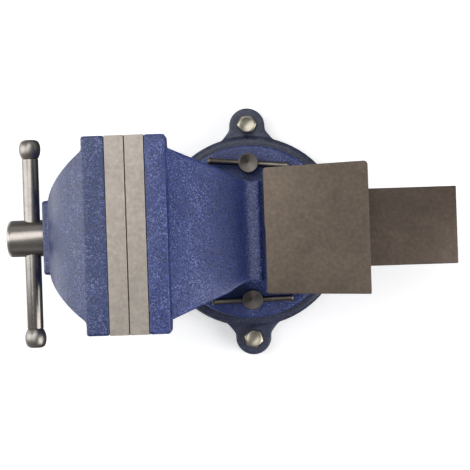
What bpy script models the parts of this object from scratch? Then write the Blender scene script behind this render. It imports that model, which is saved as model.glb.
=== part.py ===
"""Swivel-base machine vise with 200 mm jaws.

The origin is on the swivel axis at the underside of the base, +Z is up and +X runs from the handle
to the anvil. The castings, jaw plates, screw, nut, handle and every fastener are separate solids.
"""

import math

import bmesh
import bpy
from mathutils import Euler, Matrix, Vector

GAP = 0.0003
ROUND_SIDES = 48
SMALL_SIDES = 20

# Heights above the bench.
JAW_TOP = 0.240
PLATE_LEDGE = 0.1897
ANVIL_TOP = 0.205
NECK_LOW = 0.168
HOUSING_BOTTOM = 0.078
CASTING_BOTTOM = 0.085
SCREW_Z = 0.115
CHANNEL_LOW = 0.0895
CHANNEL_HIGH = 0.1505
HOLLOW_TOP = 0.139
BOSS_TOP = 0.148
BASE_TOP = 0.032
FOOT_TOP = 0.050
LUG_TOP = 0.028
FLOOR_UNDER_NUT = 0.074

# Stations along the screw axis, from the handle to the end of the slide.
HEAD_FRONT = -0.2601
BAR_X = -0.2342
BOSS_FRONT = -0.2197
CASTING_FRONT = -0.2125
FRONT_WALL_INNER = -0.196
MOVING_BLOCK_FRONT = -0.1686
MOVING_SEAT = -0.1454
MOVING_APRON = -0.127
JAW_LINE = -0.12535
FIXED_APRON = -0.1236
FIXED_SEAT = -0.1056
FIXED_BLOCK_REAR = -0.0844
STRIP_FRONT = -0.0030
GROOVE_FRONT = 0.0108
ANVIL_FRONT = 0.0133
ANVIL_REAR = 0.1200
SCREW_END = 0.175
SLIDE_REAR = 0.2164
HEAD_CORE_REAR = -0.152
HEAD_CORE_TOP = 0.188

# Half widths.
HALF_JAW = 0.100
HALF_FLARE = 0.0870
HALF_MOVING_FLARE = 0.0860
HALF_HOUSING = 0.052
HALF_ANVIL_FRONT = 0.0642
HALF_ANVIL = 0.0680
HALF_CHANNEL = 0.0412
HALF_SLIDE = 0.0407
HALF_HOLLOW = 0.028
HALF_NUT = 0.021
HALF_CORE = 0.034
HALF_BOSS = 0.039

# Radii.
BASE_RADIUS = 0.107
FOOT_RADIUS = 0.096
SPIGOT_RADIUS = 0.030
SLOT_RADIUS = 0.075
LUG_CIRCLE = 0.120
LUG_RADIUS = 0.020
HEAD_RADIUS = 0.0195
SCREW_RADIUS = 0.014
BAR_RADIUS = 0.00875
KNOB_RADIUS = 0.0115
LOCK_HEAD_RADIUS = 0.011
LOCK_SHANK_RADIUS = 0.006
LOCK_BAR_RADIUS = 0.0035
PLATE_SCREW_RADIUS = 0.005
PIN_RADIUS = 0.002

PLATE_SCREW_Y = 0.060
PLATE_SCREW_Z = 0.214
COUNTERBORE = (0.0090, 0.011)
NUT_ENDS = (-0.070, -0.010)
NUT_TOP = 0.134
NUT_BOLT_X = {"front": -0.055, "rear": -0.025}
PIN_X = -0.172
BAR_CENTRE_Y = -0.0059
BAR_HALF_LENGTH = 0.1113
KNOB_LENGTH = 0.0203
LOCK_BAR_HALF = 0.045
LOCK_BAR_Z = 0.066
LOCK_HEAD_TOP = 0.076
LOCK_BAR_ANGLE = {"left": -5.0, "right": 1.0}
SIDE = {"left": 1, "right": -1}

COLOURS = {
    "blue_enamel": ((0.060, 0.085, 0.230), 0.45, 0.0),
    "dark_enamel": ((0.030, 0.040, 0.080), 0.5, 0.0),
    "ground_steel": ((0.45, 0.41, 0.36), 0.42, 0.9),
    "turned_steel": ((0.30, 0.28, 0.26), 0.35, 1.0),
    "plated_steel": ((0.40, 0.37, 0.30), 0.35, 1.0),
    "black_steel": ((0.030, 0.030, 0.032), 0.45, 0.8),
    "grey_iron": ((0.16, 0.15, 0.14), 0.6, 0.9),
}


def clear_scene():
    for thing in list(bpy.data.objects):
        bpy.data.objects.remove(thing, do_unlink=True)


def new_collection(name):
    collection = bpy.data.collections.new(name)
    bpy.context.scene.collection.children.link(collection)
    return collection


def new_material(name):
    colour, roughness, metallic = COLOURS[name]
    material = bpy.data.materials.new(name)
    material.use_nodes = True
    shader = material.node_tree.nodes["Principled BSDF"]
    shader.inputs["Base Color"].default_value = (*colour, 1.0)
    shader.inputs["Roughness"].default_value = roughness
    shader.inputs["Metallic"].default_value = metallic
    material.diffuse_color = (*colour, 1.0)
    return material


def move_to(thing, collection):
    for home in list(thing.users_collection):
        home.objects.unlink(thing)
    collection.objects.link(thing)


def block(low, high):
    """A box between two corners."""
    centre = [(a + b) / 2 for a, b in zip(low, high)]
    bpy.ops.mesh.primitive_cube_add(size=1.0, location=centre)
    box = bpy.context.object
    box.scale = [b - a for a, b in zip(low, high)]
    bpy.ops.object.transform_apply(location=False, rotation=False, scale=True)
    return box


AXIS_TURN = {
    "X": Euler((0.0, math.pi / 2, 0.0)),
    "Y": Euler((-math.pi / 2, 0.0, 0.0)),
    "Z": Euler((0.0, 0.0, 0.0)),
}


def rod(radius, middle, length, axis, sides=SMALL_SIDES):
    """A cylinder, or a prism of few sides, centred on middle."""
    bpy.ops.mesh.primitive_cylinder_add(
        vertices=sides, radius=radius, depth=length, location=middle, rotation=AXIS_TURN[axis]
    )
    return bpy.context.object


def turned(profile, place, axis, steps=SMALL_SIDES):
    """A turned solid: profile holds (radius, height) from the top of its axis down to the bottom."""
    mesh = bpy.data.meshes.new("profile")
    points = [(radius, 0.0, height) for radius, height in profile]
    mesh.from_pydata(points, [(i, i + 1) for i in range(len(points) - 1)], [])
    solid = bpy.data.objects.new("turned", mesh)
    bpy.context.scene.collection.objects.link(solid)
    solid.location = place
    solid.rotation_euler = AXIS_TURN[axis]
    spin = solid.modifiers.new("Turn", "SCREW")
    spin.steps = steps
    spin.render_steps = steps
    spin.use_merge_vertices = True
    spin.merge_threshold = 0.00001
    return solid


PLANE_TURN = {
    "XY": Matrix.Identity(4),
    "XZ": Matrix(((1, 0, 0, 0), (0, 0, -1, 0), (0, 1, 0, 0), (0, 0, 0, 1))),
    "YZ": Matrix(((0, 0, 1, 0), (1, 0, 0, 0), (0, 1, 0, 0), (0, 0, 0, 1))),
}
PLANE_NORMAL = {"XY": Vector((0, 0, 1)), "XZ": Vector((0, 1, 0)), "YZ": Vector((1, 0, 0))}


def mesh_from_curve(drawn):
    """The solid that a filled curve draws, as a mesh with its caps welded on."""
    bpy.context.scene.collection.objects.link(drawn)
    bpy.context.view_layer.update()
    evaluated = drawn.evaluated_get(bpy.context.evaluated_depsgraph_get())
    mesh = bpy.data.meshes.new_from_object(evaluated)
    form = bmesh.new()
    form.from_mesh(mesh)
    bmesh.ops.remove_doubles(form, verts=form.verts, dist=0.00001)
    bmesh.ops.recalc_face_normals(form, faces=form.faces)
    form.to_mesh(mesh)
    form.free()
    solid = bpy.data.objects.new("solid", mesh)
    solid.matrix_world = drawn.matrix_world.copy()
    bpy.context.scene.collection.objects.link(solid)
    bpy.data.objects.remove(drawn, do_unlink=True)
    return solid


def prism(outline, plane, low, high):
    """A flat outline drawn in a plane and made thick from low to high along the plane's normal."""
    curve = bpy.data.curves.new("outline", "CURVE")
    curve.dimensions = "2D"
    curve.fill_mode = "BOTH"
    curve.extrude = (high - low) / 2
    spline = curve.splines.new("POLY")
    spline.points.add(len(outline) - 1)
    for point, (across, up) in zip(spline.points, outline):
        point.co = (across, up, 0.0, 1.0)
    spline.use_cyclic_u = True
    drawn = bpy.data.objects.new("outline", curve)
    shift = Matrix.Translation(PLANE_NORMAL[plane] * (low + high) / 2)
    drawn.matrix_world = shift @ PLANE_TURN[plane]
    return mesh_from_curve(drawn)


def bend(start, control, end, steps=5):
    """Points along a quadratic curve, both ends included."""
    points = []
    for step in range(steps + 1):
        t = step / steps
        weights = ((1 - t) ** 2, 2 * t * (1 - t), t * t)
        points.append(tuple(sum(w * p[k] for w, p in zip(weights, (start, control, end))) for k in (0, 1)))
    return points


def mirrored(half):
    """An outline symmetric about its first axis, from the half on the positive side."""
    return half + [(along, -across) for along, across in reversed(half)]


def upright(half):
    """An outline symmetric about its second axis, from the half on the positive side."""
    return half + [(-across, up) for across, up in reversed(half)]


def combine(solid, tool, operation):
    """A Boolean of two solids; the second one moves to the cutters."""
    step = solid.modifiers.new(operation.title(), "BOOLEAN")
    step.operation = operation
    step.solver = "EXACT"
    step.object = tool
    tool.hide_render = True
    tool.display_type = "WIRE"
    tool.name = "cutter"
    move_to(tool, CUTTERS)


def cut(solid, *tools):
    for tool in tools:
        combine(solid, tool, "DIFFERENCE")


def join(solid, *tools):
    for tool in tools:
        combine(solid, tool, "UNION")


def trim_to(solid, *tools):
    for tool in tools:
        combine(solid, tool, "INTERSECT")


def finish(solid, name, material, joint, smooth=False):
    """Names a solid, colours it and hangs it on the empty of the joint that it moves with."""
    solid.name = name
    solid.data.name = name
    solid.data.materials.clear()
    solid.data.materials.append(MATERIALS[material])
    if smooth:
        solid.data.shade_smooth()
    move_to(solid, PARTS)
    bpy.context.view_layer.update()
    solid.parent = joint
    solid.matrix_parent_inverse = joint.matrix_world.inverted()
    return solid


def joint_empty(name, place, parent=None):
    """An empty on a joint's axis."""
    empty = bpy.data.objects.new(name, None)
    empty.empty_display_size = 0.03
    PARTS.objects.link(empty)
    empty.location = place
    bpy.context.view_layer.update()
    if parent:
        empty.parent = parent
        empty.matrix_parent_inverse = parent.matrix_world.inverted()
    bpy.context.view_layer.update()
    return empty


def lug_outline():
    """Half of a base lug seen from above: a fillet off the round base, then a round end."""
    root = bend((0.094, 0.036), (0.104, 0.0235), (0.114, LUG_RADIUS), 4)
    centre = BASE_RADIUS + 0.0115
    end = [
        (centre + LUG_RADIUS * math.cos(math.radians(a)), LUG_RADIUS * math.sin(math.radians(a)))
        for a in (75, 60, 45, 30, 15)
    ]
    return root + end + [(centre + LUG_RADIUS, 0.0)]


def make_swivel_base():
    """The round base: a hub spigot, a T-slot all the way round for the lock nuts, and four lugs."""
    slot_in, slot_out = SLOT_RADIUS - 0.0072, SLOT_RADIUS + 0.0072
    nut_in, nut_out = SLOT_RADIUS - 0.013, SLOT_RADIUS + 0.0137
    nut_low, nut_high = 0.012, 0.022
    rim_in, hub, recess, well, well_top = 0.098, 0.034, 0.004, 0.057, 0.022
    profile = [
        (0.0, 0.040), (SPIGOT_RADIUS - 0.0015, 0.040), (SPIGOT_RADIUS, 0.0385),
        (SPIGOT_RADIUS, BASE_TOP), (slot_in, BASE_TOP), (slot_in, nut_high), (nut_in, nut_high),
        (nut_in, nut_low), (nut_out, nut_low), (nut_out, nut_high), (slot_out, nut_high),
        (slot_out, BASE_TOP), (BASE_RADIUS - 0.005, BASE_TOP), (BASE_RADIUS, BASE_TOP - 0.005),
        (BASE_RADIUS, 0.0), (rim_in, 0.0), (rim_in, recess), (well, recess), (well, well_top),
        (hub, well_top), (hub, 0.0), (0.0, 0.0),
    ]
    base = turned(profile, (0, 0, 0), "Z", ROUND_SIDES)
    outline = lug_outline()
    outline = outline + [(out, -across) for out, across in reversed(outline[:-1])]
    for quarter in range(4):
        angle = quarter * math.pi / 2
        spot = Vector((LUG_CIRCLE * math.cos(angle), LUG_CIRCLE * math.sin(angle), 0.0))
        lug = prism(outline, "XY", 0.0005, LUG_TOP)
        lug.matrix_world = Matrix.Rotation(angle, 4, "Z") @ lug.matrix_world
        join(base, lug)
        cut(base, rod(0.007, spot + Vector((0, 0, 0.02)), 0.06, "Z"))
    pocket = block((-0.013, -0.013, -0.01), (0.013, 0.013, 0.014))
    pocket.rotation_euler = (0, 0, math.pi / 4)
    pocket.location = Vector((1, 1, 0)).normalized() * SLOT_RADIUS + Vector((0, 0, 0.002))
    cut(base, pocket)
    finish(base, "swivel_base", "dark_enamel", GROUND)


def hex_bolt(across_flats, head_height, radius, length, place, axis_up=True, turn=0.0):
    """A hexagon-headed bolt whose head sits on place; its shank points away from the head."""
    sign = 1 if axis_up else -1
    corner = across_flats / math.sqrt(3)
    middle = Vector(place) + Vector((0, 0, sign * head_height / 2))
    bolt = rod(corner, middle, head_height, "Z", 6)
    bolt.rotation_euler = (0, 0, math.radians(turn))
    overlap = head_height / 2
    shank_middle = Vector(place) + Vector((0, 0, sign * (overlap - length) / 2))
    join(bolt, rod(radius, shank_middle, length + overlap, "Z"))
    return bolt


def make_base_bolts():
    """Four bolts through the lugs; their shanks stop inside the lugs, above the bench."""
    spots = {"left": (90, 33), "front": (180, 12), "right": (270, 14), "rear": (0, 40)}
    for name, (angle, turn) in spots.items():
        x = LUG_CIRCLE * math.cos(math.radians(angle))
        y = LUG_CIRCLE * math.sin(math.radians(angle))
        seat = (x, y, LUG_TOP + GAP)
        bolt = hex_bolt(0.019, 0.008, 0.006, LUG_TOP - 0.002, seat, True, turn)
        finish(bolt, "base_bolt_" + name, "plated_steel", GROUND)


def fixed_head():
    """The fixed jaw, neck and screw housing: plan, side and front outlines cut from each other."""
    margin = 0.006
    flare = bend((-0.024, 0.0630), (-0.012, HALF_HOUSING + 0.001), (0.002, HALF_HOUSING), 4)
    plan = [(FIXED_APRON - margin, HALF_JAW), (FIXED_BLOCK_REAR, HALF_JAW)]
    plan += [(FIXED_BLOCK_REAR, HALF_FLARE)] + flare + [(ANVIL_REAR + margin, HALF_HOUSING)]
    neck = bend((FIXED_BLOCK_REAR, 0.222), (-0.038, 0.174), (STRIP_FRONT, NECK_LOW - 0.001), 6)
    groove = NECK_LOW - 0.010
    side = [(FIXED_APRON, HOUSING_BOTTOM), (FIXED_APRON, PLATE_LEDGE), (FIXED_SEAT, PLATE_LEDGE)]
    side += [(FIXED_SEAT, JAW_TOP), (FIXED_BLOCK_REAR, JAW_TOP)] + neck
    side += [(GROOVE_FRONT, NECK_LOW), (GROOVE_FRONT, groove), (ANVIL_REAR, groove)]
    side += [(ANVIL_REAR, HOUSING_BOTTOM)]
    edge, low_edge = HALF_JAW + 0.003, HALF_HOUSING + 0.002
    front = [(edge, JAW_TOP + margin), (edge, 0.182)]
    front += bend((edge, 0.182), (0.070, 0.160), (low_edge, 0.112), 4)[1:]
    front += [(low_edge, HOUSING_BOTTOM - margin)]
    head = prism(mirrored(plan), "XY", HOUSING_BOTTOM - margin, JAW_TOP + margin)
    trim_to(head, prism(side, "XZ", -HALF_JAW - margin, HALF_JAW + margin))
    trim_to(head, prism(upright(front), "YZ", FIXED_APRON - margin, ANVIL_REAR + margin))
    return head


def body_cores():
    """Cored hollows that lighten the body: in the column from below, and above the slide channel."""
    column = block((-0.073, -0.0240, 0.020), (0.046, 0.0240, FLOOR_UNDER_NUT))
    core_low = CHANNEL_HIGH - 0.010
    behind_jaw = block((-0.094, -HALF_CORE, core_low), (-0.062, HALF_CORE, 0.190))
    under_anvil = block((0.027, -HALF_CORE, core_low), (0.104, HALF_CORE, 0.188))
    return column, behind_jaw, under_anvil


def make_vise_body():
    """The body casting: fixed jaw, anvil, screw housing, column and round foot in one piece."""
    body = fixed_head()
    anvil_low = 0.150
    front = [(HALF_ANVIL, ANVIL_TOP), (HALF_ANVIL, 0.178), (HALF_HOUSING - 0.004, anvil_low)]
    anvil = prism(upright(front), "YZ", ANVIL_FRONT, ANVIL_REAR - GAP)
    plan = [(ANVIL_FRONT - GAP, HALF_ANVIL_FRONT), (ANVIL_REAR, HALF_ANVIL)]
    trim_to(anvil, prism(mirrored(plan), "XY", anvil_low - GAP, ANVIL_TOP + GAP))
    join(body, anvil)
    join(body, block((-0.086, -0.036, FOOT_TOP - 0.008), (0.060, 0.036, HOUSING_BOTTOM + 0.006)))
    foot_low = BASE_TOP + GAP
    foot_middle = (0, 0, (foot_low + FOOT_TOP) / 2)
    join(body, rod(FOOT_RADIUS, foot_middle, FOOT_TOP - foot_low, "Z", ROUND_SIDES))
    cut(body, block((-0.15, -HALF_CHANNEL, CHANNEL_LOW), (0.15, HALF_CHANNEL, CHANNEL_HIGH)))
    cut(body, rod(SPIGOT_RADIUS + 0.0006, (0, 0, 0.031), 0.020, "Z", ROUND_SIDES))
    cut(body, *body_cores())
    for x in NUT_BOLT_X.values():
        cut(body, rod(0.0053, (x, 0, 0.082), 0.030, "Z"))
    for sign in SIDE.values():
        cut(body, rod(0.0068, (0, sign * SLOT_RADIUS, 0.042), 0.040, "Z"))
        hole = (FIXED_SEAT + 0.004, sign * PLATE_SCREW_Y, PLATE_SCREW_Z)
        cut(body, rod(PLATE_SCREW_RADIUS + GAP, hole, 0.024, "X"))
    finish(body, "vise_body", "blue_enamel", SWIVEL)


def moving_head():
    """The front of the moving jaw: a wide block on a body that tapers to the screw boss."""
    margin = 0.006
    flare = bend((-0.2097, 0.0445), (-0.1945, 0.0672), (MOVING_BLOCK_FRONT, HALF_MOVING_FLARE), 5)
    plan = [(CASTING_FRONT - margin, 0.0365), (CASTING_FRONT, 0.0365)] + flare
    plan += [(MOVING_BLOCK_FRONT, HALF_JAW), (MOVING_APRON + margin, HALF_JAW)]
    nose = bend((MOVING_BLOCK_FRONT, JAW_TOP), (-0.203, 0.210), (CASTING_FRONT, 0.158), 5)
    side = nose + [(CASTING_FRONT, CASTING_BOTTOM), (MOVING_APRON, CASTING_BOTTOM)]
    side += [(MOVING_APRON, PLATE_LEDGE), (MOVING_SEAT, PLATE_LEDGE), (MOVING_SEAT, JAW_TOP)]
    edge, low_edge = HALF_JAW + 0.003, 0.050
    front = [(edge, JAW_TOP + margin), (edge, 0.182)]
    front += bend((edge, 0.182), (0.066, 0.155), (low_edge, 0.112), 4)[1:]
    front += [(low_edge, CASTING_BOTTOM - margin)]
    head = prism(mirrored(plan), "XY", CASTING_BOTTOM - margin, JAW_TOP + margin)
    trim_to(head, prism(side, "XZ", -HALF_JAW - margin, HALF_JAW + margin))
    trim_to(head, prism(upright(front), "YZ", CASTING_FRONT - margin, MOVING_APRON + margin))
    return head


def make_moving_jaw():
    """The moving jaw and its slide, one casting, hollow below so that the nut fits inside it."""
    jaw = moving_head()
    slide_low, slide_high = CHANNEL_LOW + GAP, CHANNEL_HIGH - GAP
    join(jaw, block((-0.190, -HALF_SLIDE, slide_low), (SLIDE_REAR, HALF_SLIDE, slide_high)))
    edge = (BOSS_FRONT, HALF_BOSS)
    plan = bend((BOSS_FRONT, HALF_BOSS - 0.004), edge, (BOSS_FRONT + 0.004, HALF_BOSS), 3)
    plan.append((-0.205, HALF_BOSS))
    join(jaw, prism(mirrored(plan), "XY", CASTING_BOTTOM + GAP, BOSS_TOP))
    hollow_low = CASTING_BOTTOM - 0.005
    cut(jaw, block((FRONT_WALL_INNER, -HALF_HOLLOW, hollow_low), (0.22, HALF_HOLLOW, HOLLOW_TOP)))
    head_core_low = (FRONT_WALL_INNER, -HALF_CORE, hollow_low)
    cut(jaw, block(head_core_low, (HEAD_CORE_REAR, HALF_CORE, HEAD_CORE_TOP)))
    cut(jaw, rod(SCREW_RADIUS + 0.0006, (-0.21, 0, SCREW_Z), 0.040, "X"))
    for sign in SIDE.values():
        hole = (MOVING_SEAT - 0.004, sign * PLATE_SCREW_Y, PLATE_SCREW_Z)
        cut(jaw, rod(PLATE_SCREW_RADIUS + GAP, hole, 0.024, "X"))
    finish(jaw, "moving_jaw", "blue_enamel", CARRIAGE)


def plate_screw(face, sign, direction):
    """A socket-head screw sunk in a plate; direction points from its head into the jaw."""
    radius, depth = COUNTERBORE
    head = radius - 0.001
    top = depth - 0.001
    shank_end = -0.0195
    profile = [(0.0, 0.0), (head, 0.0), (head, -top + 0.0005), (PLATE_SCREW_RADIUS, -top + 0.0005)]
    profile += [(PLATE_SCREW_RADIUS, shank_end), (0.0, shank_end)]
    place = Vector((face + direction * 0.001, sign * PLATE_SCREW_Y, PLATE_SCREW_Z))
    screw = turned(profile, place, "X")
    if direction > 0:
        screw.rotation_euler = (0.0, -math.pi / 2, 0.0)
    socket_middle = place + Vector((direction * 0.0015, 0, 0))
    cut(screw, rod(0.0046, socket_middle, 0.008, "X", 6))
    return screw


def make_jaw_plates():
    """Two steel plates, each held to its jaw by two sunk screws."""
    radius, depth = COUNTERBORE
    jaws = {
        "moving": (MOVING_SEAT + GAP, JAW_LINE - GAP / 2, -1, CARRIAGE),
        "fixed": (JAW_LINE + GAP / 2, FIXED_SEAT - GAP, 1, SWIVEL),
    }
    for jaw, (low, high, into, joint) in jaws.items():
        face = high if into < 0 else low
        plate = block((low, -HALF_JAW, PLATE_LEDGE + GAP), (high, HALF_JAW, JAW_TOP))
        for side, sign in SIDE.items():
            spot = Vector((face, sign * PLATE_SCREW_Y, PLATE_SCREW_Z))
            cut(plate, rod(radius, spot, 2 * depth, "X"))
            cut(plate, rod(PLATE_SCREW_RADIUS + GAP, spot + Vector((into * 0.014, 0, 0)), 0.014, "X"))
            screw = plate_screw(face, sign, into)
            finish(screw, jaw + "_plate_screw_" + side, "black_steel", joint)
        finish(plate, jaw + "_jaw_plate", "ground_steel", joint)


def make_main_screw():
    """The clamping screw: a plain round head with a cross hole, and a long shank."""
    head_back = BOSS_FRONT - GAP
    round_edge = 0.003
    nose = [
        (HEAD_RADIUS - round_edge + round_edge * math.cos(a), round_edge - round_edge * math.sin(a))
        for a in (math.pi / 2, math.pi / 4, 0.0)
    ]
    length = SCREW_END - HEAD_FRONT
    profile = [(0.0, length), (SCREW_RADIUS - 0.002, length), (SCREW_RADIUS, length - 0.002)]
    profile += [(SCREW_RADIUS, head_back - HEAD_FRONT), (HEAD_RADIUS, head_back - HEAD_FRONT)]
    profile += list(reversed(nose)) + [(0.0, 0.0)]
    screw = turned(profile, (HEAD_FRONT, 0, SCREW_Z), "X", 32)
    cut(screw, rod(BAR_RADIUS + 0.0004, (BAR_X, 0, SCREW_Z), 0.060, "Y", 24))
    cut(screw, rod(PIN_RADIUS + GAP, (PIN_X, 0, SCREW_Z), 0.040, "Z", 12))
    finish(screw, "main_screw", "turned_steel", SCREW)


def make_screw_retainer():
    """Behind the front wall a spring, two washers and a pin keep the screw in the moving jaw."""
    washer_radius, hole, thick = 0.0200, SCREW_RADIUS + 0.0006, 0.002
    front_washer = FRONT_WALL_INNER + GAP
    rear_washer = PIN_X - PIN_RADIUS - 0.001 - thick
    for name, low in (("front_spring_washer", front_washer), ("rear_spring_washer", rear_washer)):
        ring = rod(washer_radius, (low + thick / 2, 0, SCREW_Z), thick, "X", 32)
        cut(ring, rod(hole, (low + thick / 2, 0, SCREW_Z), 4 * thick, "X", 32))
        finish(ring, name, "plated_steel", CARRIAGE)
    wire, coil_radius, turns, per_turn = 0.0012, 0.0168, 4, 14
    low = front_washer + thick + GAP + wire
    high = rear_washer - GAP - wire
    curve = bpy.data.curves.new("coil", "CURVE")
    curve.dimensions = "3D"
    curve.bevel_depth = wire
    curve.bevel_resolution = 2
    curve.use_fill_caps = True
    spline = curve.splines.new("POLY")
    count = turns * per_turn + 1
    spline.points.add(count - 1)
    for index, point in enumerate(spline.points):
        angle = 2 * math.pi * index / per_turn
        along = low + (high - low) * index / (count - 1)
        point.co = (along, coil_radius * math.cos(angle), coil_radius * math.sin(angle), 1.0)
    coil = bpy.data.objects.new("coil", curve)
    coil.location = (0, 0, SCREW_Z)
    finish(mesh_from_curve(coil), "screw_spring", "black_steel", CARRIAGE)
    pin = rod(PIN_RADIUS, (PIN_X, 0, SCREW_Z), 0.038, "Z", 12)
    finish(pin, "retaining_pin", "black_steel", SCREW)


def make_main_nut():
    """The iron nut on the channel floor, held by two bolts from below."""
    front, rear = NUT_ENDS
    nut_low = CHANNEL_LOW + GAP
    nut = block((front, -HALF_NUT, nut_low), (rear, HALF_NUT, NUT_TOP))
    cut(nut, rod(SCREW_RADIUS + 0.0005, ((front + rear) / 2, 0, SCREW_Z), 0.080, "X", 32))
    bolt_tip = 0.098
    for name, x in NUT_BOLT_X.items():
        cut(nut, rod(0.0053, (x, 0, bolt_tip - 0.008), 0.017, "Z"))
        head_top = FLOOR_UNDER_NUT - GAP
        bolt = hex_bolt(0.017, 0.0065, 0.005, bolt_tip - head_top, (x, 0, head_top), False, 30)
        finish(bolt, "nut_bolt_" + name, "black_steel", SWIVEL)
    finish(nut, "main_nut", "grey_iron", SWIVEL)


def knob_profile():
    """A barrel with rounded ends and a narrow neck ring, along its own axis."""
    half = KNOB_LENGTH / 2
    arc = []
    for degrees in (70, 45, 20, 0, -20, -45, -70):
        angle = math.radians(degrees)
        arc.append((KNOB_RADIUS * math.cos(angle) ** 0.5, half * math.sin(angle)))
    return [(0.0, half)] + [(0.0045, half)] + arc + [(0.0065, -half), (0.0, -half)]


def make_tommy_bar():
    """The sliding handle bar with a knob pressed on each end."""
    centre = Vector((BAR_X, BAR_CENTRE_Y, SCREW_Z))
    neck = BAR_HALF_LENGTH - KNOB_LENGTH - GAP
    tip, tip_radius = BAR_HALF_LENGTH - 0.006, 0.005
    profile = [(0.0, tip), (tip_radius, tip), (tip_radius, neck), (BAR_RADIUS, neck)]
    profile += [(radius, -height) for radius, height in reversed(profile)]
    bar = turned(profile, centre, "Y", 24)
    finish(bar, "tommy_bar", "turned_steel", HANDLE)
    for side, sign in SIDE.items():
        middle = centre + Vector((0, sign * (BAR_HALF_LENGTH - KNOB_LENGTH / 2), 0))
        knob = turned(knob_profile(), middle, "Y", 24)
        knob.rotation_euler = (-sign * math.pi / 2, 0, 0)
        bore_middle = centre + Vector((0, sign * (tip + GAP - 0.012), 0))
        cut(knob, rod(tip_radius + GAP, bore_middle, 0.024, "Y"))
        finish(knob, "bar_knob_" + side, "turned_steel", HANDLE)


def make_lock_sets():
    """On each side a round-headed bolt, its cross bar, and the square nut in the base's T-slot."""
    head_low = FOOT_TOP + GAP
    tip = 0.0135
    for side, sign in SIDE.items():
        centre = Vector((0, sign * SLOT_RADIUS, 0))
        empty = joint_empty("lock_axis_" + side, centre + Vector((0, 0, LOCK_BAR_Z)), SWIVEL)
        profile = [
            (0.0, LOCK_HEAD_TOP), (LOCK_HEAD_RADIUS - 0.001, LOCK_HEAD_TOP),
            (LOCK_HEAD_RADIUS, LOCK_HEAD_TOP - 0.001), (LOCK_HEAD_RADIUS, head_low),
            (LOCK_SHANK_RADIUS, head_low), (LOCK_SHANK_RADIUS, tip), (0.0, tip),
        ]
        bolt = turned(profile, centre, "Z", 24)
        angle = math.radians(LOCK_BAR_ANGLE[side])
        hole = rod(LOCK_BAR_RADIUS + GAP, centre + Vector((0, 0, LOCK_BAR_Z)), 0.040, "X", 16)
        hole.rotation_euler = (0.0, math.pi / 2, angle)
        cut(bolt, hole)
        finish(bolt, "lock_bolt_" + side, "turned_steel", empty)
        half, swell, swell_length = LOCK_BAR_HALF, LOCK_BAR_RADIUS + 0.0008, 0.004
        profile = [(0.0, half), (LOCK_BAR_RADIUS, half), (swell, half - 0.001)]
        profile += [(swell, half - swell_length), (LOCK_BAR_RADIUS, half - swell_length - 0.001)]
        profile += [(radius, -height) for radius, height in reversed(profile)]
        bar = turned(profile, centre + Vector((0, 0, LOCK_BAR_Z)), "X", 16)
        bar.rotation_euler = (0.0, math.pi / 2, angle)
        finish(bar, "lock_bar_" + side, "turned_steel", empty)
        nut_half, nut_low, nut_high = 0.011, 0.0125, 0.0217
        nut = block(
            (-nut_half, centre.y - nut_half, nut_low), (nut_half, centre.y + nut_half, nut_high)
        )
        cut(nut, rod(LOCK_SHANK_RADIUS + GAP, centre + Vector((0, 0, 0.017)), 0.020, "Z"))
        finish(nut, "lock_nut_" + side, "grey_iron", SWIVEL)


clear_scene()
PARTS = new_collection("machine_vise")
CUTTERS = new_collection("cutters")
MATERIALS = {name: new_material(name) for name in COLOURS}
GROUND = joint_empty("bench_frame", (0, 0, 0))
SWIVEL = joint_empty("swivel_axis", (0, 0, 0), GROUND)
CARRIAGE = joint_empty("jaw_slide_axis", (0, 0, SCREW_Z), SWIVEL)
SCREW = joint_empty("screw_axis", (HEAD_FRONT, 0, SCREW_Z), CARRIAGE)
HANDLE = joint_empty("handle_axis", (BAR_X, 0, SCREW_Z), SCREW)
make_swivel_base()
make_base_bolts()
make_vise_body()
make_moving_jaw()
make_jaw_plates()
make_main_screw()
make_screw_retainer()
make_main_nut()
make_tommy_bar()
make_lock_sets()
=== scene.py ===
"""Looks of a swivel-base machine vise: cast enamel bodies, machined faces, turned and plated steel.

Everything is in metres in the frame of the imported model: +X from the handle to the anvil, +Z up.
"""

import math

import bmesh
import bpy
import numpy as np
from mathutils import Euler, Matrix, Vector


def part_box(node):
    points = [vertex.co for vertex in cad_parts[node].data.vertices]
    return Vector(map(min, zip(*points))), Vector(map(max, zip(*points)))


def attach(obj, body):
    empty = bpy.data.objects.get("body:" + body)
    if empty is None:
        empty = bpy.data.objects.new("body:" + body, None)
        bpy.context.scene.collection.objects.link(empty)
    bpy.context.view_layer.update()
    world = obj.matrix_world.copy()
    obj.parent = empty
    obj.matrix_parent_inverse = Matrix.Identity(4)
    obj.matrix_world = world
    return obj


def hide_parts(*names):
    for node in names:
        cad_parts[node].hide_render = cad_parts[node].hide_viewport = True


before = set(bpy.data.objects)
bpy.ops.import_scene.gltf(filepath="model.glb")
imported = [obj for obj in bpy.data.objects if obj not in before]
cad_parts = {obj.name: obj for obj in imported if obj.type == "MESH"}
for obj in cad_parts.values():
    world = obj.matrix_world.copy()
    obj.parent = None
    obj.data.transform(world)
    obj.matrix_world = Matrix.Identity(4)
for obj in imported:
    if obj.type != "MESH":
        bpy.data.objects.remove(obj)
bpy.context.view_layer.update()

# The gap between touching solids, the sides of a large round, and the casting skin's voxel.
GAP = 0.0003
ROUND = 96
VOXEL = 0.0013

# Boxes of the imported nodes, which the stations below are read from where they can be.
BODY_LOW, BODY_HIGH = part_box("vise_body")
JAW_LOW, JAW_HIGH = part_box("moving_jaw")
BASE_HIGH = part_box("swivel_base")[1]
MOVING_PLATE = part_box("moving_jaw_plate")
FIXED_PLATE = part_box("fixed_jaw_plate")
SCREW_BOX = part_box("main_screw")
NUT_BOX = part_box("main_nut")
BAR_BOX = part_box("tommy_bar")
SIDES = {"left": 1, "right": -1}

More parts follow.
